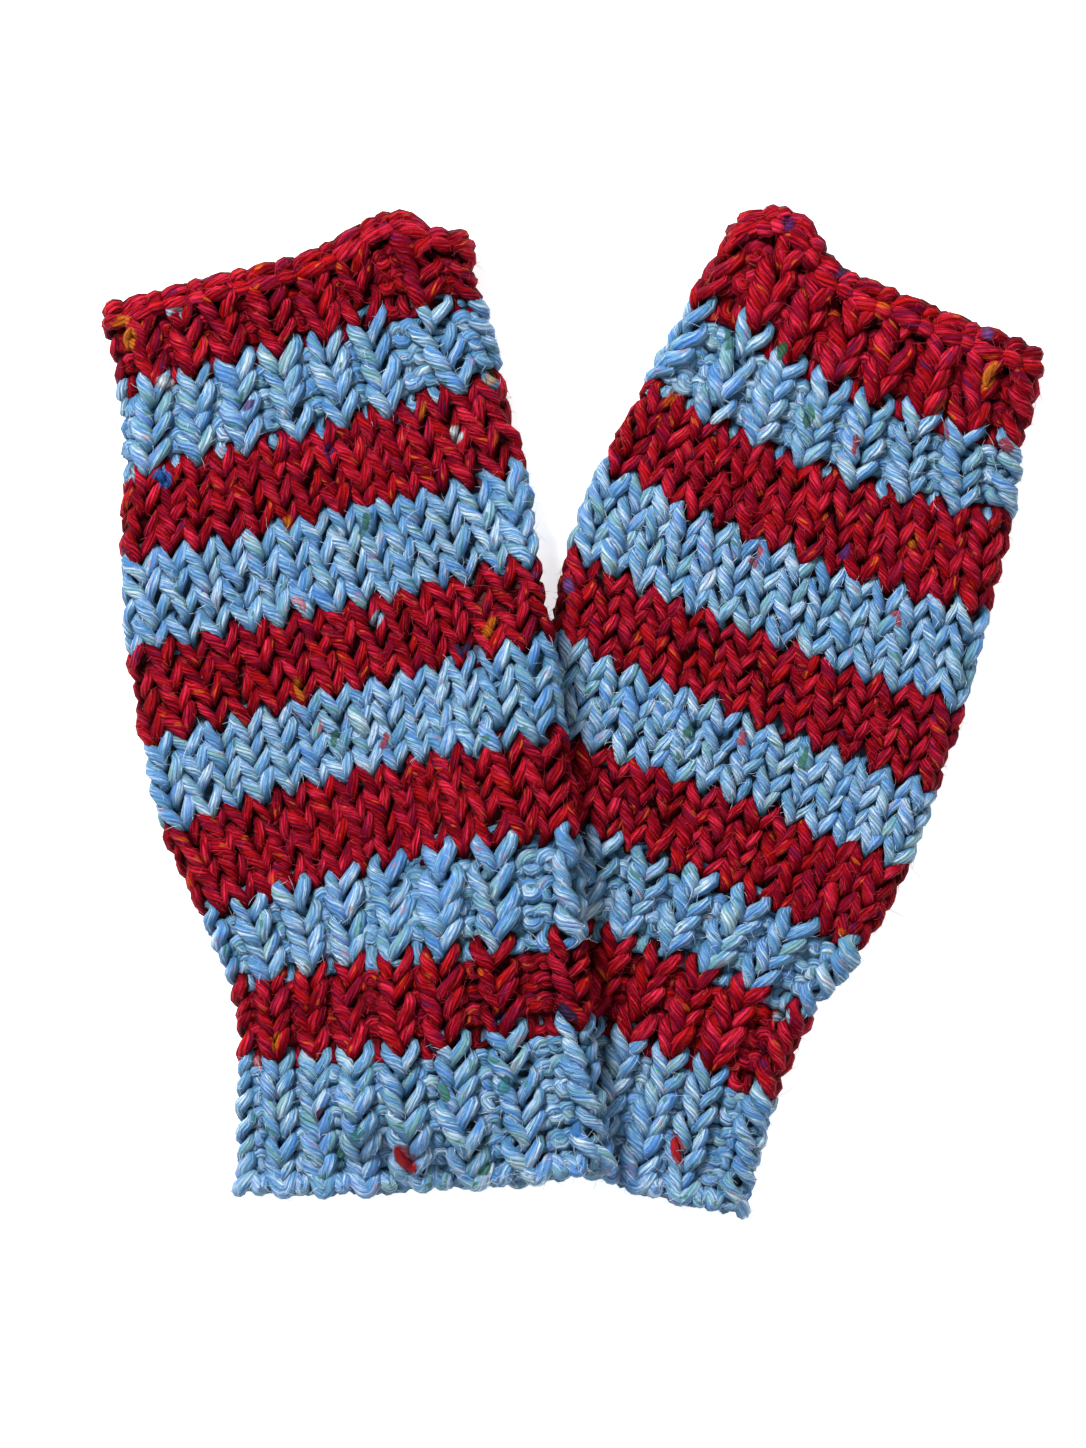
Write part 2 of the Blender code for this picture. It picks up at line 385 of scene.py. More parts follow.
class Finish:
    """A material whose nodes are added one by one."""

    def __init__(self, name):
        self.material = bpy.data.materials.new(name)
        self.material.use_nodes = True
        self.tree = self.material.node_tree
        self.shader = self.tree.nodes["Principled BSDF"]

    def fill(self, slot, value):
        """Links a socket or sets its value."""
        if isinstance(value, (Number, bpy.types.NodeSocket)):
            self.tree.links.new(getattr(value, "socket", value), slot)
        elif slot.type == "RGBA":
            slot.default_value = (*value, 1.0)
        else:
            slot.default_value = value

    def node(self, kind, settings=None, **inputs):
        """A node with its settings made first, then its sockets filled or linked."""
        node = self.tree.nodes.new(kind)
        for key, value in (settings or {}).items():
            setattr(node, key, value)
        for key, value in inputs.items():
            self.fill(node.inputs[key.replace("_", " ")], value)
        return node

    def number(self, socket):
        return Number(self.tree, socket)

    def read(self, name):
        """The number that a mesh keeps under a name."""
        return self.number(self.node("ShaderNodeAttribute", {"attribute_name": name}).outputs["Fac"])

    def mix(self, share, first, second):
        """The first colour where the share is 0 and the second where it is 1."""
        node = self.node("ShaderNodeMix", {"data_type": "RGBA"})
        self.fill(node.inputs[0], share)
        self.fill(node.inputs[6], first)
        self.fill(node.inputs[7], second)
        return node.outputs[2]

    def noise(self, x, y, z, detail=2.0, roughness=0.5):
        """Random cloudiness, about one cloud for each unit of the three numbers."""
        place = self.node("ShaderNodeCombineXYZ", X=x, Y=y, Z=z).outputs[0]
        node = self.node("ShaderNodeTexNoise", Vector=place, Scale=1.0, Detail=detail, Roughness=roughness)
        return self.number(node.outputs["Fac"])


def wool_finish(yarn, sheen, gloss):
    """Strands wound round each other, each of its own shade, with painted shade where they meet and where
    the yarn lies deep between its neighbours, and specks of other colours."""
    shadow, groove_shade, deep, middle, pale, warm, cool, speck, other_speck = WOOL[yarn]
    wool = Finish(yarn + "_wool")
    side = wool.node("ShaderNodeAttribute", {"attribute_name": "yarn_side"})
    run = wool.read("yarn_run")
    parts = wool.node("ShaderNodeSeparateXYZ", Vector=side.outputs["Vector"])
    angle = wool.number(parts.outputs["Y"]).math("ARCTAN2", wool.number(parts.outputs["X"]))
    turn = angle + wool.read("yarn_twist")
    turn_x, turn_y = turn.math("COSINE"), turn.math("SINE")
    strand = (turn * (STRANDS / 2)).math("COSINE").math("ABSOLUTE")
    streaks = wool.noise(turn_x * 3.7, turn_y * 3.7, run * 0.30, detail=4.0, roughness=0.76)
    patches = wool.noise(turn_x * 0.7, turn_y * 0.7, run * 0.17, detail=1.5)
    shade = streaks * 0.66 + patches * 0.34
    colour = wool.mix(shade.between(0.39, 0.50), deep, middle)
    colour = wool.mix(shade.between(0.49, 0.62), colour, pale)
    hues = wool.noise(turn_x * 0.9, turn_y * 0.9, run * 0.08 + 40.0, detail=1.5)
    colour = wool.mix(hues.between(0.55, 0.66) * 0.68, colour, warm)
    colour = wool.mix((1 - hues).between(0.55, 0.66) * 0.68, colour, cool)
    specks = wool.noise(turn_x * 1.1, turn_y * 1.1, run * 0.33, detail=0.0)
    colour = wool.mix(specks.between(0.728, 0.762) * 0.85, colour, speck)
    colour = wool.mix((1 - specks).between(0.745, 0.775) * 0.6, colour, other_speck)
    fleck = wool.node("ShaderNodeAttribute", {"attribute_name": "fleck"})
    tufted = (wool.number(fleck.outputs["Alpha"]) * 1.6 - streaks * 0.7).between(0.05, 0.35)
    colour = wool.mix(tufted * 0.97, colour, fleck.outputs["Color"])
    # Painted shade: the colour darkens into the grooves between the strands.
    colour = wool.mix((1 - strand) ** 2.0 * 0.66, colour, groove_shade)
    # Painted shade: the colour darkens where the yarn's surface lies deep between its neighbours.
    colour = wool.mix(wool.read("hollow") * 0.88, colour, shadow)
    bump = wool.node("ShaderNodeBump", Strength=1.0, Distance=0.0006, Height=strand * 0.45 + streaks * 1.1)
    wool.fill(wool.shader.inputs["Base Color"], colour)
    wool.fill(wool.shader.inputs["Normal"], bump.outputs["Normal"])
    wool.shader.inputs["Roughness"].default_value = 0.55
    wool.shader.inputs["Sheen Weight"].default_value = sheen
    wool.shader.inputs["Sheen Roughness"].default_value = 0.5
    wool.shader.inputs["Specular IOR Level"].default_value = gloss
    return wool.material


WOOL_FINISH = {"red": wool_finish("red", 0.0, 0.045), "blue": wool_finish("blue", 0.04, 0.25)}

# The knitted bands. Each stripe is rows of loops of one yarn. A knit stitch shows its two legs as a
# V, a purl stitch shows the bumps of its head and feet, and the ribs are made of both in turn.
YARN_RADIUS = 1.32
YARN_SIDES = 8
POINTS_PER_STITCH = 18
ROW_STARTS_AT = 22
LOOP_HEIGHT = 0.92
LEG_SPREAD = 0.30
LEG_LEANS = {
    # how far the loops lean to the right as they climb, in the plain rows and in the ribs
    "left": (0.065, 0.10),
    "right": (-0.035, 0.0),
}
LOOP_DEPTH = 1.2
LEG_OVER = 0.35
KNIT_RISE, PURL_FALL = 0.9, 0.5
PURL_HEIGHT = 0.80
TUCKED_DOWN, TUCKED_IN = 0.45, 1.5
ROW_HEIGHT = 4.55
# How deep a yarn's surface must lie between its neighbours to take the painted shade of its hollows, and how
# much the way it faces counts.
FACING_DEPTH = 2.4
OPEN_DEPTH = 3.2
CLOSED_DEPTH = 0.7
random = np.random.default_rng(20)


def yarn_tree():
    """Geometry nodes that turn lines into yarn: a round tube as thick as each point's girth."""
    tree = bpy.data.node_groups.new("yarn", "GeometryNodeTree")
    tree.interface.new_socket("Line", in_out="INPUT", socket_type="NodeSocketGeometry")
    kinds = {"Radius": "NodeSocketFloat", "Sides": "NodeSocketInt", "Wool": "NodeSocketMaterial"}
    for label, kind in kinds.items():
        tree.interface.new_socket(label, in_out="INPUT", socket_type=kind)
    tree.interface.new_socket("Yarn", in_out="OUTPUT", socket_type="NodeSocketGeometry")
    nodes, link = tree.nodes, tree.links.new
    given, result = nodes.new("NodeGroupInput"), nodes.new("NodeGroupOutput")
    to_curve = nodes.new("GeometryNodeMeshToCurve")
    ring = nodes.new("GeometryNodeCurvePrimitiveCircle")
    ring.inputs["Radius"].default_value = 1.0
    mark = nodes.new("GeometryNodeCaptureAttribute")
    mark.capture_items.new("VECTOR", "side")
    here = nodes.new("GeometryNodeInputPosition")
    girth = nodes.new("GeometryNodeInputNamedAttribute")
    girth.inputs["Name"].default_value = "girth"
    thick = nodes.new("ShaderNodeMath")
    thick.operation = "MULTIPLY"
    sweep = nodes.new("GeometryNodeCurveToMesh")
    sweep.inputs["Fill Caps"].default_value = True
    keep = nodes.new("GeometryNodeStoreNamedAttribute")
    keep.data_type, keep.domain = "FLOAT_VECTOR", "POINT"
    keep.inputs["Name"].default_value = "yarn_side"
    real = nodes.new("GeometryNodeRealizeInstances")
    paint = nodes.new("GeometryNodeSetMaterial")
    link(given.outputs["Line"], to_curve.inputs["Mesh"])
    link(given.outputs["Sides"], ring.inputs["Resolution"])
    link(ring.outputs["Curve"], mark.inputs["Geometry"])
    link(here.outputs["Position"], mark.inputs[1])
    link(girth.outputs["Attribute"], thick.inputs[0])
    link(given.outputs["Radius"], thick.inputs[1])
    link(to_curve.outputs["Curve"], sweep.inputs["Curve"])
    link(mark.outputs["Geometry"], sweep.inputs["Profile Curve"])
    link(thick.outputs[0], sweep.inputs["Scale"])
    link(sweep.outputs["Mesh"], keep.inputs["Geometry"])
    link(mark.outputs[1], keep.inputs["Value"])
    link(keep.outputs["Geometry"], real.inputs["Geometry"])
    link(real.outputs["Geometry"], paint.inputs["Geometry"])
    link(given.outputs["Wool"], paint.inputs["Material"])
    link(paint.outputs["Geometry"], result.inputs["Yarn"])
    return tree


YARN_TREE = yarn_tree()


def shade_hollows(tube):
    """Keeps, for each point of a yarn's surface, how deep between its neighbours it lies, up to 1, which
    sets the wool's painted shade.
    """
    count = len(tube.vertices)
    outward = np.zeros((count, 3), np.float32)
    normal = np.zeros((count, 3), np.float32)
    depth = np.zeros(count, np.float32)
    tube.attributes["outward"].data.foreach_get("vector", outward.ravel())
    tube.attributes["depth"].data.foreach_get("value", depth)
    tube.vertex_normals.foreach_get("vector", normal.ravel())
    surface = depth + FACING_DEPTH * (outward * normal).sum(1)
    hollow = smooth_step((OPEN_DEPTH - surface) / (OPEN_DEPTH - CLOSED_DEPTH))
    tube.attributes.new("hollow", "FLOAT", "POINT").data.foreach_set("value", hollow.astype(np.float32))


def spin(name, yarn, lines, closed, finish=None, radius=YARN_RADIUS, sides=YARN_SIDES):
    """Real yarn along lines. Each line has points in metres, and for each point its girth, how tightly
    it is twisted, how far out it lies and which way out is, or its colour if it needs one."""
    edges, run, twist, start = [], [], [], 0
    reached, turned = 0.0, 0.0
    for line in lines:
        ids = np.arange(start, start + len(line["points"]))
        pairs = np.column_stack([ids, np.roll(ids, -1)])
        edges.append(pairs if closed else pairs[:-1])
        steps = np.linalg.norm(np.diff(line["points"], axis=0), axis=1) / MM
        run.append(reached + np.concatenate([[0], np.cumsum(steps)]))
        tight = steps * line.get("tight", np.ones(len(ids)))[:-1] * 2 * math.pi / TWIST_LENGTH
        twist.append(turned + np.concatenate([[0], np.cumsum(tight)]))
        reached, turned = run[-1][-1], np.mod(twist[-1][-1], 2 * math.pi)
        start += len(ids)
    mesh = bpy.data.meshes.new(name)
    all_points = np.concatenate([line["points"] for line in lines])
    mesh.from_pydata(all_points.tolist(), np.concatenate(edges).tolist(), [])
    numbers = {
        "girth": [line["girth"] for line in lines],
        "yarn_run": run,
        "yarn_twist": twist,
        "depth": [line.get("depth", np.full(len(line["points"]), OPEN_DEPTH)) for line in lines],
    }
    for key, values in numbers.items():
        attribute = mesh.attributes.new(key, "FLOAT", "POINT")
        attribute.data.foreach_set("value", np.concatenate(values).astype(np.float32))
    if "outward" in lines[0]:
        outward = np.concatenate([line["outward"] for line in lines]).astype(np.float32)
        mesh.attributes.new("outward", "FLOAT_VECTOR", "POINT").data.foreach_set("vector", outward.ravel())
    if "colour" in lines[0]:
        colours = np.concatenate([line["colour"] for line in lines]).astype(np.float32)
        attribute = mesh.attributes.new("speck_colour", "FLOAT_COLOR", "POINT")
        attribute.data.foreach_set("color", colours.ravel())
    holder = bpy.data.objects.new(name + "_lines", mesh)
    bpy.context.scene.collection.objects.link(holder)
    modifier = holder.modifiers.new("yarn", "NODES")
    modifier.node_group = YARN_TREE
    inputs = [item for item in YARN_TREE.interface.items_tree if item.in_out == "INPUT"]
    sockets = {item.name: item.identifier for item in inputs}
    modifier[sockets["Radius"]] = radius * MM
    modifier[sockets["Sides"]] = sides
    modifier[sockets["Wool"]] = finish or WOOL_FINISH[yarn]
    holder.update_tag()
    seen = holder.evaluated_get(bpy.context.evaluated_depsgraph_get())
    tube = bpy.data.meshes.new_from_object(seen)
    tube.name = name
    bpy.data.objects.remove(holder)
    bpy.data.meshes.remove(mesh)
    tube.shade_smooth()
    if "outward" in lines[0]:
        shade_hollows(tube)
    piece = bpy.data.objects.new(name, tube)
    bpy.context.scene.collection.objects.link(piece)
    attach(piece, "root")
    yarn + "_yarn"
    return piece


def uneven(size):
    """A hand knitter's small errors: a random number for each leg of each stitch, smooth between."""
    values = random.normal(0, size, (ROWS + 2, 2 * STITCHES))

    def at(row, stitch):
        line = values[row]
        leg = np.mod(2 * stitch - 0.5, 2 * STITCHES)
        return np.interp(leg, np.arange(2 * STITCHES + 1), np.append(line, line[0]))

    return at


def yarn_line(mitt, stitch, row, depth, girth, tight):
    """A line of yarn in the knitting, with what spin needs to know about each of its points. Where
    the rows are stretched the soft yarn swells, and where they are pushed together it gives."""
    around = mitt.around(stitch, row)
    points = mitt.place(around, row, depth)
    rise = mitt.place(around, row + 0.5, depth) - mitt.place(around, row - 0.5, depth)
    girth = girth * np.clip(np.linalg.norm(rise, axis=1) / (ROW_HEIGHT * MM), 0.8, 1.5) ** 0.5
    outward = mitt.place(around, row, depth + 1.0) - points
    outward /= np.linalg.norm(outward, axis=1)[:, None]
    return {"points": points, "girth": girth, "tight": tight, "depth": depth, "outward": outward}


def knitted_row(mitt, row, ribbed, last, errors):
    """The line of one row's loops, from the middle of the back right round the tube. The heads of
    the last row's purl loops are tucked away behind the next yarn."""
    stitch = np.mod(ROW_STARTS_AT + np.arange(STITCHES * POINTS_PER_STITCH) / POINTS_PER_STITCH, STITCHES)
    which, tau = stitch.astype(int), np.mod(stitch, 1.0)
    face = mitt.rib(row) if ribbed else np.ones(STITCHES)
    own, before, after = face[which], face[which - 1], face[(which + 1) % STITCHES]
    into, out_of = smooth_step(1 - tau / 0.16), smooth_step((tau - 0.84) / 0.16)
    side = own + (before - own) * 0.5 * into + (after - own) * 0.5 * out_of
    sideways, upwards, outwards, thickness, leaning = (error(row, stitch) for error in errors)
    climb, sway = -np.cos(2 * math.pi * tau), np.sin(2 * math.pi * tau)
    lean = LEG_LEANS[mitt.name][ribbed] + leaning
    at = stitch + LEG_SPREAD * np.sin(4 * math.pi * tau) + lean * climb + sideways
    height_share = np.where(side < 0, 1 - (1 - PURL_HEIGHT) * np.abs(side), 1.0)
    level = row + 0.5 + LOOP_HEIGHT * climb * height_share + upwards
    depth = -side * LOOP_DEPTH * (0.78 + 0.22 * side) * np.cos(4 * math.pi * tau) + outwards
    depth = depth + side * LEG_OVER * 2 * np.maximum(-climb, 0) * sway
    if ribbed:
        tucked = last * np.maximum(-side, 0) * np.maximum(climb, 0)
        level = level - TUCKED_DOWN * tucked
        depth = depth + side * np.where(side > 0, KNIT_RISE, PURL_FALL) - TUCKED_IN * tucked
    girth = 0.64 + 0.52 * np.maximum(sway, 0) ** 2 + 0.38 * np.maximum(-sway, 0) ** 2
    girth = girth * (1.10 if ribbed else 0.97)
    girth = np.where(side < 0, 1.18 - 0.25 * sway**2, girth) if ribbed else girth
    line = yarn_line(mitt, at, level, depth, girth * (1 + thickness), 1.25 + 0.75 * sway)
    if ribbed:
        # In the ribs the depth kept for the painted shade is measured from each column's own face, so the
        # creases inside the ribs are shaded too.
        line["depth"] = depth - side * np.where(side > 0, 0.8 * KNIT_RISE, 0.5 * PURL_FALL)
    return line


stitched = {mitt: [] for mitt in MITTS}
for mitt in MITTS:
    errors = [uneven(size) for size in (0.07, 0.11, 0.32, 0.12, 0.07)]
    for (name, yarn, ribbed, rows), first in zip(STRIPES, FIRST_ROWS):
        top = first + rows - 1
        lines = [knitted_row(mitt, row, ribbed, row == top, errors) for row in range(first, top + 1)]
        band = spin(f"{mitt.name}_{name}_stitches", yarn, lines, closed=True)
        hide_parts(f"{mitt.name}_{name}")
        stitched[mitt].append(band)

# The cast-on edge. The first loops hang on two strands of blue yarn that cross at every stitch. One
# hooks under each knit column in front, and the other shows, smaller, under the purl columns.
EDGE_STRANDS = (
    # side that it shows on, how far it bulges in front and behind, and how low it hangs
    (1.0, 2.4, 1.0, 0.42),
    (-1.0, 1.5, 0.9, 0.24),
)
for mitt in MITTS:
    stitch = np.mod(ROW_STARTS_AT + np.arange(STITCHES * POINTS_PER_STITCH) / POINTS_PER_STITCH, STITCHES)
    tau = np.mod(stitch, 1.0)
    lines = []
    for shows, before, behind, hang in EDGE_STRANDS:
        wobble = uneven(0.06)(0, stitch)
        front = mitt.rib(0)[stitch.astype(int)] * shows > 0
        at = stitch + 0.08 * front + wobble
        level = -0.10 + hang * np.cos(2 * math.pi * (tau - 0.03)) + wobble
        depth = 0.15 + np.where(front, before, -behind) * np.sin(math.pi * tau) ** 0.6
        girth = 0.95 + 0.35 * np.where(front, np.sin(math.pi * tau), 0)
        lines.append(yarn_line(mitt, at, level, depth, girth, np.where(tau < 0.5, 1.2, 0.6)))
    edge = spin(f"{mitt.name}_cast_on_edge", "blue", lines, closed=True)
    stitched[mitt].append(edge)

# The bound-off edge. The last loops are drawn through each other in red yarn, which leaves a chain
# of teardrop links along the finger end. It leans towards the front.
LINK_POINTS = 18
LINK_REACH = 0.68
for mitt in MITTS:
    lines = []
    t = 2 * math.pi * np.arange(LINK_POINTS) / LINK_POINTS
    for link in range(STITCHES):
        along = link + 0.5 + LINK_REACH * np.cos(t) + random.normal(0, 0.06)
        wide = (1.50 + 0.55 * np.cos(t)) * np.sin(t) * (1 + random.normal(0, 0.10))
        lift = -1.05 * np.cos(2 * t) + random.normal(0, 0.2)
        level = ROWS + 0.22 - (0.88 * wide - 0.35 * lift) / 4.4
        depth = 0.75 + 0.50 * wide + 0.94 * lift
        girth = 0.74 + 0.58 * np.sin(t) ** 2 + random.normal(0, 0.05)
        lines.append(yarn_line(mitt, np.mod(along, STITCHES), level, depth, girth, 1 + 0.4 * np.sin(t)))
    chain = spin(f"{mitt.name}_bound_off_edge", "red", lines, closed=True)
    stitched[mitt].append(chain)

# The flecks. Short tufts of other colours were spun into the wool, and the larger ones stand out on
# the stitches. Each is a tapered tuft pressed into the yarn that carries it.
FLECK_SHADES = {
    "orange": (0.62, 0.16, 0.012),
    "amber": (0.72, 0.34, 0.03),
    "rust": (0.42, 0.06, 0.010),
    "cream": (0.78, 0.72, 0.55),
    "white": (0.74, 0.80, 0.84),
    "pink": (0.62, 0.20, 0.24),
    "red": (0.42, 0.008, 0.018),
    "purple": (0.085, 0.020, 0.130),
    "violet": (0.16, 0.07, 0.26),
    "navy": (0.020, 0.024, 0.080),
    "green": (0.035, 0.160, 0.085),
    "teal": (0.030, 0.240, 0.280),
    "deep": (0.025, 0.150, 0.520),
    "sky": (0.36, 0.55, 0.72),
}
FLECKS = (
    # place across and up on the table, which way it points, length, thickness and shade
    (-93.0, 80.8, 30, 3.4, 0.80, "orange"),
    (-91.6, 77.4, 80, 4.2, 0.95, "orange"),
    (-82.0, 82.6, 10, 3.0, 0.60, "sky"),
    (-17.0, 69.7, 100, 3.2, 0.75, "amber"),
    (-30.6, 62.5, 60, 2.6, 0.60, "orange"),
    (-58.8, 38.7, 110, 3.4, 0.60, "orange"),
    (-17.0, 17.5, 65, 4.2, 0.85, "orange"),
    (-56.5, 4.5, 110, 4.2, 0.70, "orange"),
    (70.6, 34.9, 40, 2.6, 0.50, "orange"),
    (86.5, 69.7, 70, 5.0, 1.00, "orange"),
    (76.8, 62.9, 30, 3.0, 0.60, "rust"),
    (-61.3, -67.9, 75, 3.2, 0.60, "orange"),
    (20.7, 65.6, 60, 4.4, 0.80, "rust"),
    (-23.8, 56.9, 125, 4.6, 0.62, "white"),
    (-84.8, 68.1, 170, 4.2, 0.75, "white"),
    (-84.7, 48.6, 120, 3.8, 1.10, "deep"),
    (-91.5, 49.7, 95, 3.0, 0.75, "sky"),
    (-40.4, 19.4, 60, 3.6, 0.85, "sky"),
    (22.6, 67.2, 150, 4.0, 0.95, "sky"),
    (25.9, 65.1, 60, 2.6, 0.75, "sky"),
    (43.7, -62.8, 30, 3.4, 0.80, "sky"),
    (-22.6, 12.8, 160, 3.4, 0.75, "navy"),
    (-50.1, 53.6, 120, 3.4, 0.65, "purple"),
    (56.5, 32.9, 70, 3.2, 0.65, "purple"),
    (-1.0, -62.1, 150, 4.4, 0.85, "navy"),
    (-14.9, -64.0, 100, 3.2, 0.70, "purple"),
    (-7.9, 28.3, 30, 2.4, 0.55, "violet"),
    (-1.0, 26.7, 60, 2.2, 0.50, "violet"),
    (44.7, 101.4, 45, 2.4, 0.60, "purple"),
    (55.3, 91.0, 20, 2.2, 0.55, "violet"),
    (86.1, 78.4, 15, 2.8, 0.60, "violet"),
    (-67.5, 63.0, 60, 2.4, 0.55, "purple"),
    (-34.2, -92.2, 130, 6.4, 1.25, "red"),
    (38.3, 32.2, 60, 3.0, 0.75, "red"),
    (67.1, 20.0, 120, 2.4, 0.60, "red"),
    (35.4, -4.8, 70, 2.8, 0.60, "red"),
    (21.9, -90.5, 100, 5.0, 1.05, "red"),
    (-38.7, -6.3, 60, 2.6, 0.55, "red"),
    (-51.8, -3.4, 40, 2.6, 0.55, "pink"),
    (-52.2, -83.1, 80, 3.0, 0.60, "red"),
    (-65.4, -73.1, 100, 2.4, 0.50, "pink"),
    (58.6, 55.6, 60, 3.2, 0.70, "red"),
    (76.8, 58.3, 100, 3.2, 0.80, "red"),
    (89.2, 55.2, 60, 3.2, 0.75, "red"),
    (-56.5, 22.5, 150, 3.0, 0.60, "pink"),
    (24.6, -3.6, 60, 3.6, 0.70, "green"),
    (48.0, -9.8, 70, 3.4, 0.70, "green"),
    (-49.1, -4.8, 60, 3.0, 0.65, "green"),
    (-42.9, 38.7, 60, 3.4, 0.70, "green"),
    (32.7, 77.0, 100, 4.2, 0.75, "green"),
    (43.5, 74.9, 60, 3.8, 0.70, "green"),
    (49.1, 61.4, 70, 3.6, 0.75, "green"),
    (-44.3, -87.0, 60, 3.4, 0.70, "teal"),
    (-47.8, -91.4, 110, 3.0, 0.65, "green"),
    (-26.3, -78.3, 110, 3.8, 0.75, "green"),
    (-18.4, -94.2, 60, 3.0, 0.65, "green"),
    (-13.9, -76.2, 70, 3.6, 0.70, "teal"),
    (0.6, -85.5, 110, 4.0, 0.80, "deep"),
    (25.9, 81.1, 130, 4.0, 0.80, "deep"),
)
FLECK_POINTS = 9
FLECK_STANDS_OUT = 0.30
TUFT_FROM = 0.9

for piece in [piece for pieces in stitched.values() for piece in pieces]:
    count = len(piece.data.vertices)
    place, normal = np.zeros((count, 3), np.float32), np.zeros((count, 3), np.float32)
    piece.data.vertices.foreach_get("co", place.ravel())
    piece.data.vertex_normals.foreach_get("vector", normal.ravel())
    colour = np.zeros((count, 4), np.float32)
    for x, y, heading, length, thickness, shade in FLECKS:
        turn = math.radians(heading)
        dx, dy = place[:, 0] / MM - x, place[:, 1] / MM - y
        along, across = dx * math.cos(turn) + dy * math.sin(turn), dy * math.cos(turn) - dx * math.sin(turn)
        share = smooth_step(2.0 - 1.5 * np.hypot(along / (0.5 * length + 0.3), across / (thickness + 0.2)))
        marked = (share > colour[:, 3]) & (normal[:, 2] > 0.1)
        colour[marked, :3] = FLECK_SHADES[shade]
        colour[marked, 3] = share[marked]
    piece.data.attributes.new("fleck", "FLOAT_COLOR", "POINT").data.foreach_set("color", colour.ravel())


def surface_of(pieces):
    """A tree that finds the top of the yarn above a place on the table."""
    corners, faces, start = [], [], 0
    for piece in pieces:
        mesh = piece.data
        places = np.zeros(3 * len(mesh.vertices), np.float32)
        mesh.vertices.foreach_get("co", places)
        ids = np.zeros(len(mesh.loops), np.int32)
        mesh.loops.foreach_get("vertex_index", ids)
        corners.append(places.reshape(-1, 3))
        faces.append(ids.reshape(-1, 4) + start)
        start += len(mesh.vertices)
    return BVHTree.FromPolygons(np.concatenate(corners).tolist(), np.concatenate(faces).tolist())


def fleck_finish():
    """Loose fibres of one colour for each fleck, with a little painted shade in its grooves."""
    tuft = Finish("fleck_wool")
    own = tuft.node("ShaderNodeAttribute", {"attribute_name": "speck_colour"}).outputs["Color"]
    side = tuft.node("ShaderNodeAttribute", {"attribute_name": "yarn_side"}).outputs["Vector"]
    parts = tuft.node("ShaderNodeSeparateXYZ", Vector=side)
    across, up = tuft.number(parts.outputs["X"]), tuft.number(parts.outputs["Y"])
    fibres = tuft.noise(across * 4.0, up * 4.0, tuft.read("yarn_run") * 0.3, detail=3.0)
    # Painted shade: the fleck's colour darkens where its fibres' bumps are low.
    colour = tuft.mix(fibres.between(0.42, 0.60) * 0.7, tuft.mix(0.45, own, (0, 0, 0)), own)
    bump = tuft.node("ShaderNodeBump", Strength=1.0, Distance=0.0006, Height=fibres)
    tuft.fill(tuft.shader.inputs["Base Color"], colour)
    tuft.fill(tuft.shader.inputs["Normal"], bump.outputs["Normal"])
    tuft.shader.inputs["Roughness"].default_value = 0.7
    tuft.shader.inputs["Specular IOR Level"].default_value = 0.15
    return tuft.material


yarn_top = surface_of([piece for pieces in stitched.values() for piece in pieces])
lines = {"red": [], "blue": []}
for x, y, heading, length, thickness, shade in FLECKS:
    if thickness < TUFT_FROM:
        continue
    along = np.linspace(-0.5, 0.5, FLECK_POINTS) * length
    bend = 0.12 * length * np.cos(math.pi * along / length)
    turn = math.radians(heading)
    px = x + along * math.cos(turn) - bend * math.sin(turn)
    py = y + along * math.sin(turn) + bend * math.cos(turn)
    hits = [yarn_top.ray_cast((a * MM, b * MM, 0.1), (0, 0, -1))[0] for a, b in zip(px, py)]
    if None in hits:
        continue
    tops = np.array([hit.z for hit in hits]) / MM
    tops = np.maximum(tops, np.median(tops) - 0.3)
    padded = np.pad(tops, 2, mode="edge")
    tops = np.max([padded[k : k + FLECK_POINTS] for k in range(1, 4)], axis=0)
    tops = np.convolve(np.pad(tops, 1, mode="edge"), (0.25, 0.5, 0.25), mode="valid")
    girth = 0.25 + 0.75 * np.cos(math.pi * along / length) ** 0.6
    height = tops + FLECK_STANDS_OUT - thickness * girth
    line = {"points": np.column_stack([px, py, height]) * MM, "girth": girth * thickness}
    line["colour"] = np.tile((*FLECK_SHADES[shade], 1.0), (FLECK_POINTS, 1))
    lines["blue" if shade in ("red", "pink", "green", "teal", "deep") else "red"].append(line)
FLECK_FINISH = fleck_finish()
for yarn, tufts in lines.items():
    spin(f"flecks_on_{yarn}", yarn, tufts, closed=False, finish=FLECK_FINISH, radius=1.0)

# The fuzz. Ends of fibre stand up all over the wool, most of them short, and a few longer ones curl
# away from the yarn. They are fine tapered hairs, rooted in the stitches.
HAIRS = (
    # name, how many on each yarn of each mitt, shortest and longest, thickness, how far it stands up
    ("fuzz", 2200, 0.9, 2.6, 0.055, 0.55),
    ("stray_fibres", 110, 3.0, 7.5, 0.060, 0.30),
)
HAIR_POINTS = 3
HAIRS_ABOVE = 3.0
HAIR_SHADES = {
    "red": ((0.50, 0.016, 0.035), (0.26, 0.004, 0.014)),
    "blue": ((0.72, 0.80, 0.88), (0.30, 0.42, 0.58)),
}


def hair_finish(yarn):
    """Single fibres of the wool, some paler than others."""
    hair = Finish(yarn + "_fibres")
    shade = hair.noise(hair.read("yarn_run") * 0.4, 0.0, 0.0, detail=0.0)
    hair.fill(hair.shader.inputs["Base Color"], hair.mix(shade.between(0.4, 0.6), *HAIR_SHADES[yarn]))
    hair.shader.inputs["Roughness"].default_value = 0.6
    return hair.material


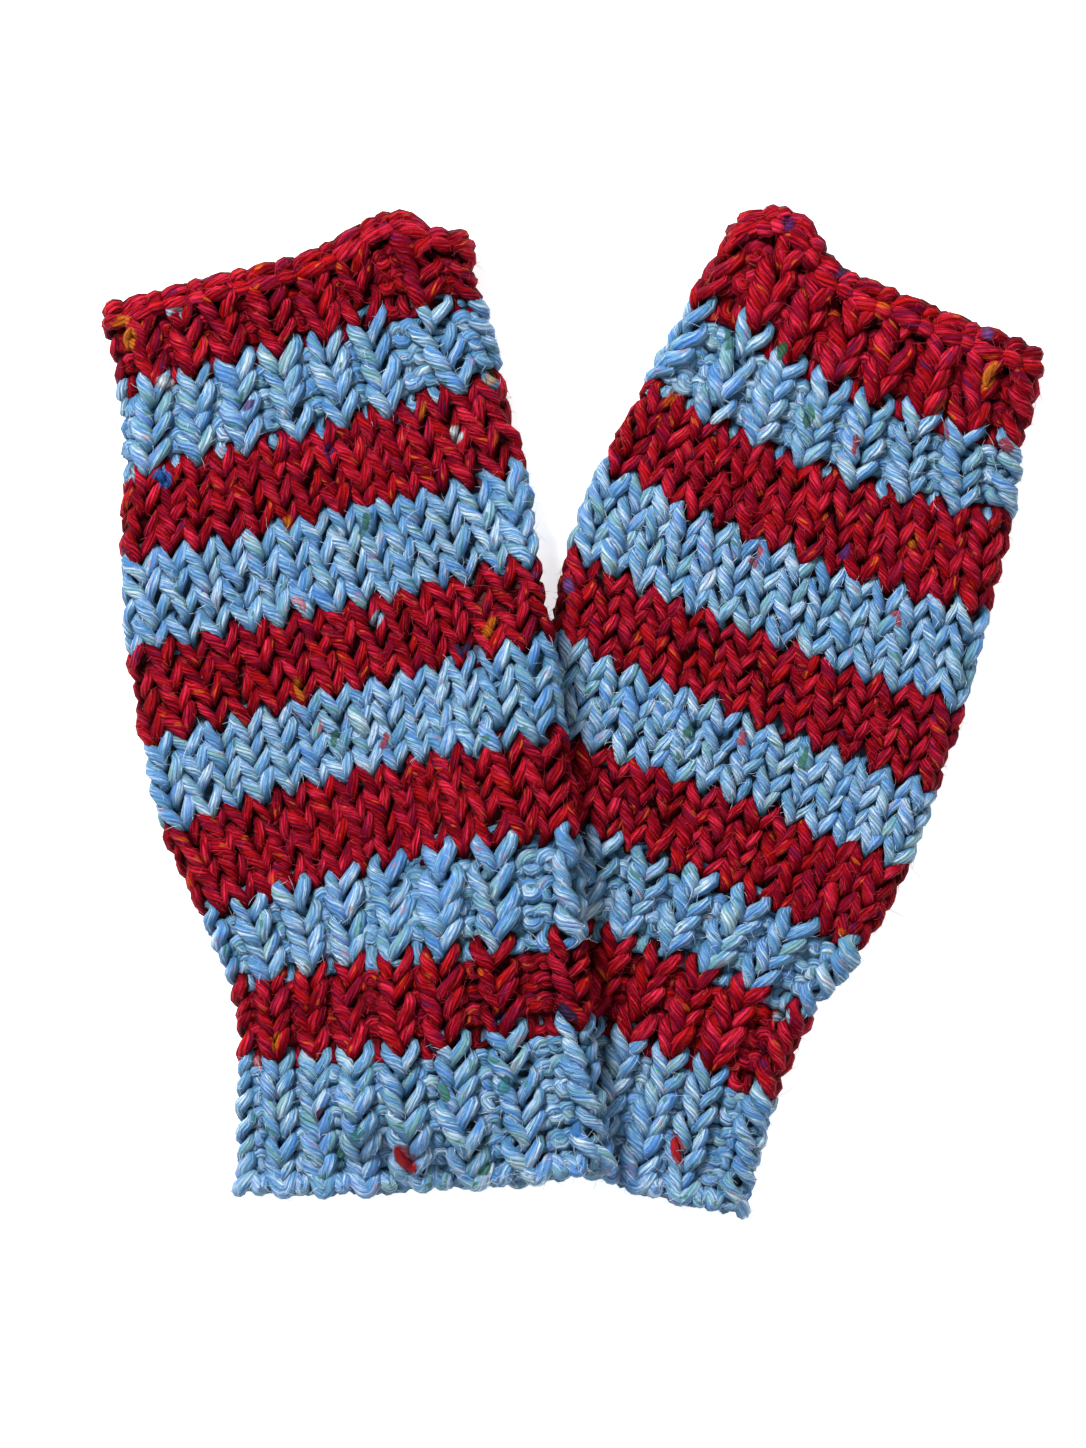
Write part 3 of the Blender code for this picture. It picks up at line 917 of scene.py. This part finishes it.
for yarn in ("red", "blue"):
    HAIR_FINISH = hair_finish(yarn)
    for mitt in MITTS:
        places, normals = [], []
        for piece in stitched[mitt]:
            if piece.data.materials[0] != WOOL_FINISH[yarn]:
                continue
            count = len(piece.data.vertices)
            place = np.zeros((count, 3), np.float32)
            normal = np.zeros((count, 3), np.float32)
            hollow = np.zeros(count, np.float32)
            piece.data.vertices.foreach_get("co", place.ravel())
            piece.data.vertex_normals.foreach_get("vector", normal.ravel())
            piece.data.attributes["hollow"].data.foreach_get("value", hollow)
            open_side = (hollow < 0.35) & (normal[:, 2] > -0.2) & (place[:, 2] > HAIRS_ABOVE * MM)
            places.append(place[open_side])
            normals.append(normal[open_side])
        places, normals = np.concatenate(places), np.concatenate(normals)
        for name, count, shortest, longest, thickness, stand in HAIRS:
            rooted = random.choice(len(places), count, replace=False)
            root, out = places[rooted] / MM, normals[rooted]
            length = random.uniform(shortest, longest, count)[:, None]
            heading = np.cross(out, random.normal(size=(count, 3)))
            heading /= np.linalg.norm(heading, axis=1)[:, None]
            curl = np.cross(out, heading) * random.normal(0, 0.35, (count, 1))
            lines = []
            points_along = HAIR_POINTS if name == "fuzz" else 2 * HAIR_POINTS
            for share in np.linspace(0, 1, points_along)[:, None, None]:
                up = stand * share * (1.3 - 0.6 * share) - 0.04
                lines.append(root + length * (heading * share * 0.8 + curl * share**2 + out * up))
            hairs = np.concatenate(lines).reshape(len(lines), count, 3).transpose(1, 0, 2) * MM
            hairs[:, :, 2] = np.maximum(hairs[:, :, 2], MM)
            girth = np.linspace(1.0, 0.35, len(lines))
            spin(
                f"{mitt.name}_{yarn}_{name}",
                yarn,
                [{"points": hair, "girth": girth} for hair in hairs],
                closed=False,
                finish=HAIR_FINISH,
                radius=thickness,
                sides=3,
            )

# The inside of the knitting. Behind the loops lie their own backs, which close the gaps between the
# stitches. One thin tube stands for them.
SHELL_DEPTH = -0.75
SHELL_WALL = 0.7
SHELL_AROUND, SHELL_ALONG = 64, 42


def inside_finish():
    """The backs of the loops: the yarn's colours darkened as painted shade, with small bumps."""
    backs = Finish("inside_of_the_knitting")
    place = backs.node("ShaderNodeAttribute", {"attribute_name": "knit_place"})
    parts = backs.node("ShaderNodeSeparateXYZ", Vector=place.outputs["Vector"])
    stitch, row = backs.number(parts.outputs["X"]), backs.number(parts.outputs["Y"])
    mottle = backs.noise(stitch * 3.0, row * 3.0, 0.0, detail=3.0)
    bumps = (stitch * (2 * math.pi)).math("SINE") * 0.5 + (row * (2 * math.pi)).math("SINE") * 0.5
    red = backs.number(parts.outputs["Z"])
    # Painted shade: the backs are coloured as red and blue yarn in shadow, with random mottling.
    red_in_shadow = backs.mix(mottle, (0.020, 0.0005, 0.002), (0.10, 0.001, 0.006))
    blue_in_shadow = backs.mix(mottle, (0.010, 0.025, 0.045), (0.05, 0.11, 0.19))
    colour = backs.mix(red, blue_in_shadow, red_in_shadow)
    bump = backs.node("ShaderNodeBump", Strength=0.8, Distance=0.0008, Height=bumps + mottle)
    backs.fill(backs.shader.inputs["Base Color"], colour)
    backs.fill(backs.shader.inputs["Normal"], bump.outputs["Normal"])
    backs.shader.inputs["Roughness"].default_value = 0.95
    return backs.material


INSIDE = inside_finish()
for mitt in MITTS:
    turns = np.arange(SHELL_AROUND) / SHELL_AROUND
    levels = np.linspace(-0.2, ROWS + 0.1, SHELL_ALONG)
    around, level = (grid.ravel() for grid in np.meshgrid(turns, levels))
    outer = mitt.place(around, level, SHELL_DEPTH + SHELL_WALL / 2)
    inner = mitt.place(around, level, SHELL_DEPTH - SHELL_WALL / 2)
    faces = []
    count = SHELL_AROUND * SHELL_ALONG
    here = np.arange(count).reshape(SHELL_ALONG, SHELL_AROUND)
    beside = np.roll(here, -1, axis=1)
    faces += np.stack([here[:-1], here[1:], beside[1:], beside[:-1]], -1).reshape(-1, 4).tolist()
    faces += (np.stack([here[:-1], beside[:-1], beside[1:], here[1:]], -1).reshape(-1, 4) + count).tolist()
    faces += np.stack([here[0], beside[0], beside[0] + count, here[0] + count], -1).tolist()
    faces += np.stack([here[-1], here[-1] + count, beside[-1] + count, beside[-1]], -1).tolist()
    mesh = bpy.data.meshes.new(mitt.name + "_inside_of_the_knitting")
    mesh.from_pydata(np.concatenate([outer, inner]).tolist(), [], faces)
    stripe = np.clip(np.searchsorted(FIRST_ROWS, level, side="right") - 1, 0, len(STRIPES) - 1)
    red = np.array([STRIPES[i][1] == "red" for i in stripe], float)
    knit_place = np.tile(np.column_stack([around * STITCHES, level, red]), (2, 1)).astype(np.float32)
    mesh.attributes.new("knit_place", "FLOAT_VECTOR", "POINT").data.foreach_set("vector", knit_place.ravel())
    mesh.materials.append(INSIDE)
    mesh.shade_smooth()
    cloth = bpy.data.objects.new(mesh.name, mesh)
    bpy.context.scene.collection.objects.link(cloth)
    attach(cloth, "root")
